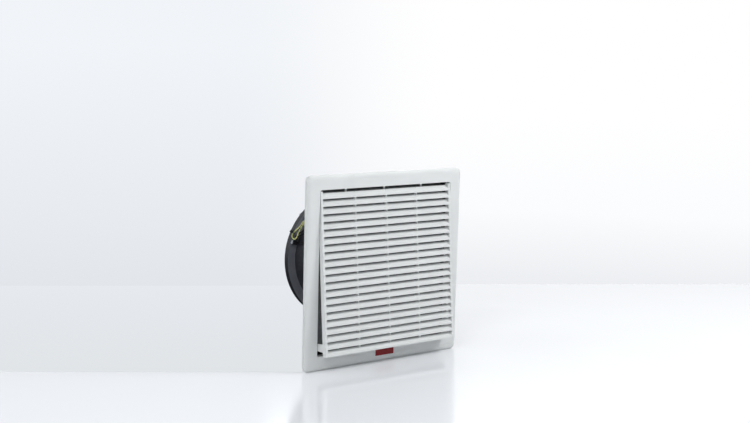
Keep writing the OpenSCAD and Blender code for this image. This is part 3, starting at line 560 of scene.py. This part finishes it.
def make_screws(name, node, d, length, pitch, seats):
    """Pan head screws: a domed head with a cross recess, and a shank with its thread's crests."""
    head_r, head_h = HEAD_R_SHARE * d, HEAD_H_SHARE * d
    profile = [(TIP_R_SHARE * d, -length), (THREAD_FIRST_SHARE * d, -length + TIP_L_SHARE * d)]
    z = -length + THREAD_START_SHARE * d
    while z < -pitch:
        profile += [(THREAD_CREST_SHARE * d, z), (THREAD_ROOT_SHARE * d, z + pitch / 2)]
        z += pitch
    profile.append((NECK_SHARE * d, 0.0))
    profile += [(head_r * across, head_h * height) for across, height in HEAD_PROFILE]
    mesh = bmesh.new()
    tool = bmesh.new()
    for matrix in seats:
        lathe(mesh, matrix, profile)
        top = matrix @ Matrix.Translation((0, 0, head_h))
        cross_recess(tool, top, d, RECESS_DEPTH_SHARE * head_h)
    piece = add_piece(name, mesh, "body", "zinc_steel", (node,), SCREW_ANGLE)
    cutter_data = bpy.data.meshes.new(name + "_cutter")
    tool.to_mesh(cutter_data)
    tool.free()
    cutter = bpy.data.objects.new(name + "_cutter", cutter_data)
    bpy.context.scene.collection.objects.link(cutter)
    cut = piece.modifiers.new("recess", "BOOLEAN")
    cut.object = cutter
    cut.operation = "DIFFERENCE"
    cut.solver = "EXACT"
    cut.use_self = True
    bpy.context.view_layer.update()
    shown = piece.evaluated_get(bpy.context.evaluated_depsgraph_get())
    made = bpy.data.meshes.new_from_object(shown)
    piece.modifiers.clear()
    old = piece.data
    piece.data = made
    bpy.data.meshes.remove(old)
    bpy.data.objects.remove(cutter)
    bpy.data.meshes.remove(cutter_data)
    smooth(piece, SCREW_ANGLE)


FIT = 0.1
COLLAR_HALF = 110.5
CLIP_T = 1.0
CLIP_AT = 58.0
CLIP_SCREW_Z = -15.4
CORNER_AT = 99.5
COWL_MOUTH_Z = -22.6
TUB_FLOOR_Z = -17.5
FAN_FRONT_Z = -61.6
FAN_BACK_Z = -104.6
FAN_PCD_R = 81.0
FAN_ANGLES = (45, 135, 225, 315)
LUG_ANGLE = 135
LUG_T = 0.8
GUARD_LUG_T = 2.6
MOTOR_PCD_R = 27.0
QUARTERS = (0, 90, 180, 270)
SIDEWAYS = -90.0


def make_all_screws():
    """Each group of screws: diameter, length under the head, pitch and seats."""
    make_screws("clip_screw_set", "clip_screws", 3.0, CLIP_T + 3.2, 0.5, [
        seat(a, s * CLIP_AT, COLLAR_HALF + CLIP_T, CLIP_SCREW_Z, SIDEWAYS)
        for a in QUARTERS for s in (-1, 1)
    ])
    make_screws("cowl_screw_set", "cowl_screws", 3.5, TUB_FLOOR_Z - COWL_MOUTH_Z, 0.6, [
        seat(0, x * CORNER_AT, y * CORNER_AT, COWL_MOUTH_Z) for x in (-1, 1) for y in (-1, 1)
    ])
    make_screws("fan_screw_set", "fan_screws", 4.0, 14.7, 0.7, [
        seat(a, FAN_PCD_R, 0, FAN_FRONT_Z - (LUG_T + FIT if a == LUG_ANGLE else 0))
        for a in FAN_ANGLES
    ])
    make_screws("guard_screw_set", "guard_screws", 4.0, 13.8, 0.7, [
        seat(a, FAN_PCD_R, 0, FAN_BACK_Z - GUARD_LUG_T) for a in FAN_ANGLES
    ])
    make_screws("motor_screw_set", "motor_screws", 3.0, 7.5, 0.5, [
        seat(a, MOTOR_PCD_R, 0, FAN_BACK_Z) for a in QUARTERS
    ])


# Soft pieces


MAT_CUTS = 47
MAT_T_SHARE = 0.93
MAT_PINCH = 0.32
MAT_PINCH_FROM = 0.94
MAT_PINCH_WIDTH = 0.06
MAT_LUMPS = ((55, 0.35), (210, 0.15))
MAT_FACE = 0.4
MAT_RIM_IN = 0.002
MAT_RIM_WAVE = 0.001
MAT_RIM_SCALE = 120


def make_mat():
    """The filter mat: bonded fibres, crowned a little between its edges."""
    low, high = (Vector(corner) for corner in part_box("filter_mat"))
    size, middle = high - low, (low + high) / 2
    mesh = bmesh.new()
    bmesh.ops.create_cube(mesh, size=1.0)
    bmesh.ops.subdivide_edges(mesh, edges=mesh.edges[:], cuts=MAT_CUTS, use_grid_fill=True)
    for vert in mesh.verts:
        x, y, z = vert.co
        edge = max(abs(x), abs(z)) * 2
        pinch = 1.0 - MAT_PINCH * max(0.0, (edge - MAT_PINCH_FROM) / MAT_PINCH_WIDTH) ** 2
        place = Vector((x * size.x, y * size.y * MAT_T_SHARE * pinch, z * size.z))
        if abs(y) > MAT_FACE:
            lump = sum(noise.noise(place * scale) * height for scale, height in MAT_LUMPS)
            place.y += (1 if y > 0 else -1) * lump * MM
        wave = 1 + noise.noise(place * MAT_RIM_SCALE + Vector((3, 1, 7)))
        rim = 1.0 - MAT_RIM_IN - MAT_RIM_WAVE * wave
        vert.co = middle + Vector((place.x * rim, place.y, place.z * rim))
    piece = add_piece("mat_fleece", mesh, "body", "filter_fleece", ("filter_mat",), 80)


GASKET_HALF = 119.5
GASKET_W = 7.0
GASKET_T = 3.0
GASKET_CORNER = 15.2
GASKET_SIDE_STEPS = 24
GASKET_CORNER_STEPS = 10
GASKET_SECTION = (
    (-1, 0.25), (-0.96, 0.06), (-0.8, 0.0), (-0.4, 0.0), (0, 0.0), (0.4, 0.0), (0.8, 0.0),
    (0.96, 0.06), (1, 0.25), (1, 0.8), (0.9, 1.0), (-0.9, 1.0), (-1, 0.8),
)
GASKET_WAVE = 0.06
GASKET_WAVE_SCALE = 0.09
GASKET_LIFT = 0.02


def make_gasket():
    """The foam strip in the frame's groove, with a soft wave along it."""
    outline = []
    for quarter in range(4):
        turn = Matrix.Rotation(quarter * math.pi / 2, 3, "Z")
        reach = GASKET_HALF - GASKET_CORNER
        for i in range(GASKET_SIDE_STEPS):
            along = -reach + 2 * reach * i / GASKET_SIDE_STEPS
            outline.append((turn @ Vector((reach, along, 0)), turn @ Vector((1, 0, 0))))
        for i in range(GASKET_CORNER_STEPS):
            a = i / GASKET_CORNER_STEPS * math.pi / 2
            outward = Vector((math.cos(a), math.sin(a), 0))
            outline.append((turn @ Vector((reach, reach, 0)), turn @ outward))
    half, top = GASKET_W / 2 - FIT, GASKET_T - FIT
    section = [(across * half, height * top) for across, height in GASKET_SECTION]
    mesh = bmesh.new()
    rings = []
    for corner, outward in outline:
        middle = corner + outward * (GASKET_CORNER - GASKET_W / 2)
        wave = GASKET_WAVE * noise.noise(corner * GASKET_WAVE_SCALE)
        ring = []
        for across, height in section:
            place = middle + outward * (across + wave)
            ring.append(mesh.verts.new(up(place.x, place.y, height * (1 + GASKET_LIFT * wave))))
        rings.append(ring)
    bridge(mesh, rings, closed=True, flip=True)
    piece = add_piece("gasket_strip", mesh, "body", "gasket_foam", ("panel_gasket",), 50)


# Wiring, along the routes of the source, with Y from the fan's front face

FAN_Y = 53.6
EARTH_ROUTE = [
    (-82.0, -10.5, 70.0), (-82.0, -10.5, 65.5),
    (-82.4, -7.6, 62.6), (-81.5, -0.6, 59.5), (-81, 8.4, 58), (-80, 16.4, 55.5),
    (-79.2, 23.4, 49.5),
    (-79.6, 31.4, 43.4), (-80.6, 37.9, 38.2), (-81.6, 40.2, 34.2), (-81.2, 39.6, 30.6),
    (-80.2, 36.6, 29.2), (-79, 33.4, 31.8), (-77.8, 32.3, 36.4), (-76.4, 29.6, 42.4),
    (-75.6, 25.8, 47.6), (-75, 21.9, 53), (-75.5, 17.9, 57.5), (-75.2, 13.2, 60.2),
    (-72.15, 9.8, 59.9), (-68.2, 9.8, 59.2),
]
LIVE_ROUTE = [
    (-76.0, -10.5, 70.0), (-76.0, -10.5, 65.5), (-76.2, -7.6, 62), (-75.4, 0.4, 57.6),
    (-75.2, 10.4, 52.6), (-74.8, 19.4, 46.6), (-74.5, 27.4, 40.4), (-75.3, 33.5, 37),
    (-76.3, 38, 33.6), (-77.25, 40.4, 30.52), (-78.42, 40.4, 26.7),
]
NEUTRAL_ROUTE = [
    (-70.0, -10.5, 70.0), (-70.0, -10.5, 65.5), (-70.4, -7.6, 61.8), (-70.8, 0.4, 56.8),
    (-71.4, 8.9, 51.5), (-71.6, 18.4, 45.4), (-71.2, 26.4, 38.8), (-72, 33, 35),
    (-73.2, 38, 32), (-74.38, 40.4, 29.64), (-75.55, 40.4, 25.82),
]
LEAD_HOLE_ANGLE = 162
LEAD_HOLE_Z = -85.3
FAN_BORE_R = 72.0
GROMMET_PROFILE = (
    (2.0, 0.1), (2.4, 0.3), (2.4, 2.6), (3.1, 2.65), (3.2, 2.9), (3.05, 3.2), (2.8, 3.3),
    (2.3, 3.25), (1.9, 2.9), (1.7, 1.2), (0.5, 1.0),
)


def route(points):
    return [at(x, y + FAN_Y, z) for x, y, z in points]


def make_wiring():
    make_wire("earth_strand", [route(EARTH_ROUTE)], "green_insulation", "earth_wire")
    leads = [route(LIVE_ROUTE), route(NEUTRAL_ROUTE)]
    make_wire("lead_strands", leads, "black_insulation", "supply_leads")


def make_grommet():
    """The rubber grommet in the hole where the motor's leads pass the fan's body."""
    turn = Matrix.Rotation(math.radians(LEAD_HOLE_ANGLE), 4, "Z")
    lean = Matrix.Rotation(math.radians(90), 4, "Y")
    hole = Matrix.Translation((FAN_BORE_R, 0, LEAD_HOLE_Z))
    mesh = bmesh.new()
    lathe(mesh, Matrix.Scale(MM, 4) @ STAND @ turn @ hole @ lean, GROMMET_PROFILE)
    add_piece("lead_grommet", mesh, "body", "black_insulation")


# Studio

CAMERA_AHEAD = (0.608, 0.794, 0.0)
CAMERA_ASIDE = (0.794, -0.608, 0.0)
FLOOR_LEAN = math.radians(2.15)
FLOOR_PLACE = Vector((0, -0.005, -0.1262))
FLOOR_CORNERS = (
    (-3.2, -3.2), (3.2, -3.2), (3.2, 0.668), (-0.108, 0.599), (-0.1, -0.072), (-3.2, -0.118),
)
TABLE_CORNERS = ((-3.2, -0.118), (-0.1, -0.072), (-0.108, 0.599), (-3.2, 0.533))
TABLE_DROP = 0.003
FLOOR_GLOW = 0.03


WHITE = (1, 1, 1, 1)
AMBIENT = 0.46
AMBIENT_COLOUR = (0.93, 0.96, 1.0, 1.0)
GLOSS_DARK = srgb(126, 130, 136)
SKY_HEIGHTS = (-0.3, 0.0)
SKY_ASIDE = (-0.12, 0.06)
SKY_AHEAD = (0.03, 0.3)
SKY_LEFT = ((0.1, srgb(219, 223, 228)), (0.5, srgb(231, 234, 239)), (0.95, srgb(241, 244, 248)))
SKY_RIGHT = (
    (0.1, srgb(226, 228, 231)), (0.38, srgb(237, 239, 242)), (0.55, srgb(251, 252, 254)),
    (0.8, WHITE),
)


class Sky(Nodes):
    """Nodes of the world: what lights the object, and what is seen or mirrored behind it."""

    def __init__(self, tree):
        super().__init__(tree)
        self.look = self.node("ShaderNodeTexCoord").outputs["Generated"]

    def squared(self, value):
        made = self.node("ShaderNodeMath", operation="MULTIPLY")
        self.link(value, made.inputs[0])
        self.link(value, made.inputs[1])
        return made.outputs[0]

    def background(self, colour, strength=1.0):
        made = self.node("ShaderNodeBackground")
        self.feed(colour, made.inputs["Color"])
        made.inputs["Strength"].default_value = strength
        return made.outputs[0]

    def switch(self, factor, first, second):
        made = self.node("ShaderNodeMixShader")
        self.link(factor, made.inputs["Fac"])
        self.link(first, made.inputs[1])
        self.link(second, made.inputs[2])
        return made.outputs[0]


def make_world():
    world = bpy.data.worlds.new("studio")
    bpy.context.scene.world = world
    world.use_nodes = True
    world.node_tree.nodes.clear()
    sky = Sky(world.node_tree)
    height = sky.spread(sky.dot(sky.look, (0, 0, 1)), *SKY_HEIGHTS)
    left = sky.ramp(height, *SKY_LEFT)
    right = sky.ramp(height, *SKY_RIGHT)
    aside = sky.spread(sky.dot(sky.look, CAMERA_ASIDE), *SKY_ASIDE, curve="SMOOTHSTEP")
    shown = sky.mix(aside, left, right)
    facing = sky.squared(sky.dot(sky.look, CAMERA_AHEAD))
    mirrored = sky.mix(sky.spread(facing, *SKY_AHEAD, curve="SMOOTHSTEP"), GLOSS_DARK, shown)
    path = sky.node("ShaderNodeLightPath").outputs
    lit = sky.background(AMBIENT_COLOUR, AMBIENT)
    glossy = sky.switch(path["Is Glossy Ray"], lit, sky.background(mirrored))
    clear = sky.switch(path["Is Transmission Ray"], glossy, sky.background(shown))
    seen = sky.switch(path["Is Camera Ray"], clear, sky.background(shown))
    sky.link(seen, sky.node("ShaderNodeOutputWorld").inputs["Surface"])


def add_plate(name, corners, drop):
    """A flat plate of the floor. Its corners are aside of the view and ahead along it."""
    data = bpy.data.meshes.new(name)
    ahead, aside = Vector(CAMERA_AHEAD), Vector(CAMERA_ASIDE)
    places = []
    for side, forward in corners:
        place = aside * side + ahead * forward
        place.z = FLOOR_PLACE.z - drop - math.tan(FLOOR_LEAN) * (place.y - FLOOR_PLACE.y)
        places.append(place)
    data.from_pydata(places, [], [tuple(range(len(places)))])
    plate = bpy.data.objects.new(name, data)
    bpy.context.scene.collection.objects.link(plate)
    return plate


def shown_glow(made, strength):
    """Lets the camera see the surface a little brighter than the lamps alone make it."""
    seen = made.node("ShaderNodeLightPath").outputs["Is Camera Ray"]
    made.surface.inputs["Emission Color"].default_value = WHITE
    made.link(made.spread(seen, 0.0, 1.0, 0.0, strength), made.surface.inputs["Emission Strength"])


FLOOR_TINTS = ((0.3, srgb(236, 238, 241)), (0.7, srgb(239, 241, 244)))
TABLE_TINTS = ((0.3, srgb(30, 31, 32)), (0.7, srgb(34, 35, 36)))
TABLE_SHOWN = ((0.0, srgb(223, 227, 230)), (1.0, srgb(229, 232, 237)))
TABLE_DEPTHS = (-0.07, 0.6)


def make_floor():
    """A glossy white plate, whose rear edge steps forward at the left, and a matte table there."""
    plate = Shader("floor", 0.16, Specular_IOR_Level=0.5)
    plate.colour(plate.ramp(plate.noise(1.5, 3), *FLOOR_TINTS))
    plate.rough(plate.grey(plate.noise(9, 4), 0.1, 0.15))
    shown_glow(plate, FLOOR_GLOW)
    dress(add_plate("floor", FLOOR_CORNERS, 0), plate.material)
    table = Shader("table", 0.9, Specular_IOR_Level=0.0)
    table.colour(table.ramp(table.noise(2, 3), *TABLE_TINTS))
    shown_glow(table, 1.0)
    depth = table.spread(table.dot(table.place, CAMERA_AHEAD), *TABLE_DEPTHS)
    fade = table.ramp(depth, *TABLE_SHOWN)
    table.link(fade, table.surface.inputs["Emission Color"])
    dress(add_plate("table", TABLE_CORNERS, TABLE_DROP), table.material)


# Name, place, width and height, and power of each lamp

LIGHTS = (
    ("left_above", (-1.0, -0.7, 1.0), (0.5, 0.5), 6.2),
    ("right_near", (0.7, -0.7, 0.9), (0.4, 0.4), 8),
    ("right", (1.6, -1.2, 0.7), (0.9, 0.9), 2),
    ("left_behind", (-2.0, 0.9, 0.8), (1.2, 1.2), 9),
    ("right_behind", (1.4, 1.5, 1.1), (1.2, 1.2), 9),
)


def area_light(name, place, size, power):
    data = bpy.data.lights.new(name, "AREA")
    data.shape = "RECTANGLE"
    data.size, data.size_y = size
    data.energy = power
    lamp = bpy.data.objects.new(name, data)
    lamp.location = place
    lamp.rotation_euler = (-Vector(place)).to_track_quat("-Z", "Y").to_euler()
    bpy.context.scene.collection.objects.link(lamp)


def make_studio():
    make_world()
    make_floor()
    for light in LIGHTS:
        area_light(*light)


make_camera()
make_studio()
make_all_screws()
make_mat()
make_gasket()
make_wiring()
make_grommet()
bpy.context.scene.view_settings.view_transform = "Standard"
